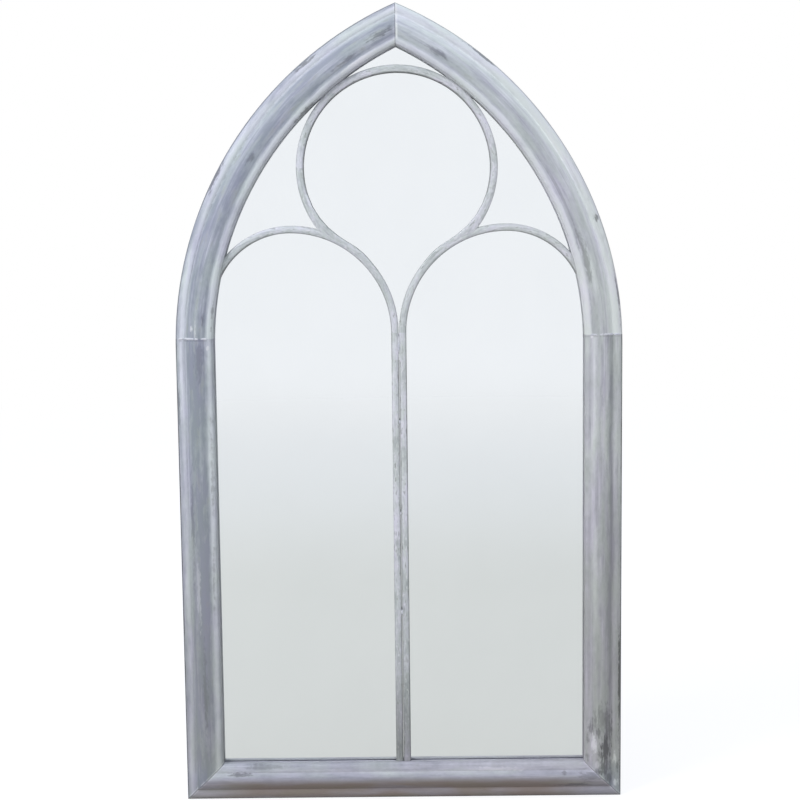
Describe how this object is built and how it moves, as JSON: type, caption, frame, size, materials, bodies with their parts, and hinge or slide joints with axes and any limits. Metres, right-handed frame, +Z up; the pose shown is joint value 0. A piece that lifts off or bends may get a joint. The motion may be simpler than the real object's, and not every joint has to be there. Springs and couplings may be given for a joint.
{
  "type": "window mirror",
  "caption": "Wall mirror shaped as a pointed Gothic window: whitewashed moulded metal frame, lancet and ring tracery on the glass, boarded back with turn buttons and hanger rings.",
  "frame": {"origin": "in the wall plane, at the middle of the foot of the frame", "axes": "+X to the right as seen from the front, +Y towards the wall, +Z up"},
  "size_m": [0.61, 0.0303, 1.0971],
  "materials": {
    "frame_paint": "whitewashed and rubbed, satin",
    "silvered_glass": "polished, silvered on the back",
    "seal_foam": "matte closed-cell foam",
    "tape_foam": "matte foam tape",
    "hardboard": "smooth brown hardboard",
    "bumper_rubber": "matte",
    "zinc_steel": "zinc plated, satin"
  },
  "bodies": {
    "frame": {"left_stile": "frame_paint", "right_stile": "frame_paint", "bottom_rail": "frame_paint", "left_arch": "frame_paint", "right_arch": "frame_paint", "left_mullion_bar": "frame_paint", "right_mullion_bar": "frame_paint", "left_lancet_head": "frame_paint", "right_lancet_head": "frame_paint", "oculus_ring": "frame_paint", "mirror_glass": "silvered_glass", "glass_seal": "seal_foam", "bonding_tape": "tape_foam", "backing_board": "hardboard", "button_rivets": "zinc_steel", "left_hanger_strap": "zinc_steel", "right_hanger_strap": "zinc_steel", "hanger_rivets": "zinc_steel", "wall_bumpers": "bumper_rubber"},
    "turn_button_1": {"turn_button_1": "zinc_steel"},
    "turn_button_2": {"turn_button_2": "zinc_steel"},
    "turn_button_3": {"turn_button_3": "zinc_steel"},
    "turn_button_4": {"turn_button_4": "zinc_steel"},
    "turn_button_5": {"turn_button_5": "zinc_steel"},
    "turn_button_6": {"turn_button_6": "zinc_steel"},
    "turn_button_7": {"turn_button_7": "zinc_steel"},
    "turn_button_8": {"turn_button_8": "zinc_steel"},
    "turn_button_9": {"turn_button_9": "zinc_steel"},
    "turn_button_10": {"turn_button_10": "zinc_steel"},
    "left_hanger_ring": {"left_hanger_ring": "zinc_steel"},
    "right_hanger_ring": {"right_hanger_ring": "zinc_steel"}
  },
  "joints": [
    {"name": "turn_button_1_turn", "type": "hinge", "parent": "frame", "child": "turn_button_1", "pos_m": [-0.293, -0.00605, 0.15], "axis": [0, 1, 0], "range_deg": [-90, 90]},
    {"name": "turn_button_2_turn", "type": "hinge", "parent": "frame", "child": "turn_button_2", "pos_m": [0.293, -0.00605, 0.15], "axis": [0, 1, 0], "range_deg": [-90, 90]},
    {"name": "turn_button_3_turn", "type": "hinge", "parent": "frame", "child": "turn_button_3", "pos_m": [-0.293, -0.00605, 0.43], "axis": [0, 1, 0], "range_deg": [-90, 90]},
    {"name": "turn_button_4_turn", "type": "hinge", "parent": "frame", "child": "turn_button_4", "pos_m": [0.293, -0.00605, 0.43], "axis": [0, 1, 0], "range_deg": [-90, 90]},
    {"name": "turn_button_5_turn", "type": "hinge", "parent": "frame", "child": "turn_button_5", "pos_m": [-0.28047, -0.00605, 0.746], "axis": [0, 1, 0], "range_deg": [-90, 90]},
    {"name": "turn_button_6_turn", "type": "hinge", "parent": "frame", "child": "turn_button_6", "pos_m": [0.28047, -0.00605, 0.746], "axis": [0, 1, 0], "range_deg": [-90, 90]},
    {"name": "turn_button_7_turn", "type": "hinge", "parent": "frame", "child": "turn_button_7", "pos_m": [-0.14977, -0.00605, 0.98177], "axis": [0, 1, 0], "range_deg": [-90, 90]},
    {"name": "turn_button_8_turn", "type": "hinge", "parent": "frame", "child": "turn_button_8", "pos_m": [0.14977, -0.00605, 0.98177], "axis": [0, 1, 0], "range_deg": [-90, 90]},
    {"name": "turn_button_9_turn", "type": "hinge", "parent": "frame", "child": "turn_button_9", "pos_m": [-0.15, -0.00605, 0.012], "axis": [0, 1, 0], "range_deg": [-90, 90]},
    {"name": "turn_button_10_turn", "type": "hinge", "parent": "frame", "child": "turn_button_10", "pos_m": [0.15, -0.00605, 0.012], "axis": [0, 1, 0], "range_deg": [-90, 90]},
    {"name": "left_ring_swing", "type": "hinge", "parent": "frame", "child": "left_hanger_ring", "pos_m": [-0.293, -0.004, 0.592], "axis": [1, 0, 0], "range_deg": [0, 180]},
    {"name": "right_ring_swing", "type": "hinge", "parent": "frame", "child": "right_hanger_ring", "pos_m": [0.293, -0.004, 0.592], "axis": [1, 0, 0], "range_deg": [0, 180]}
  ]
}
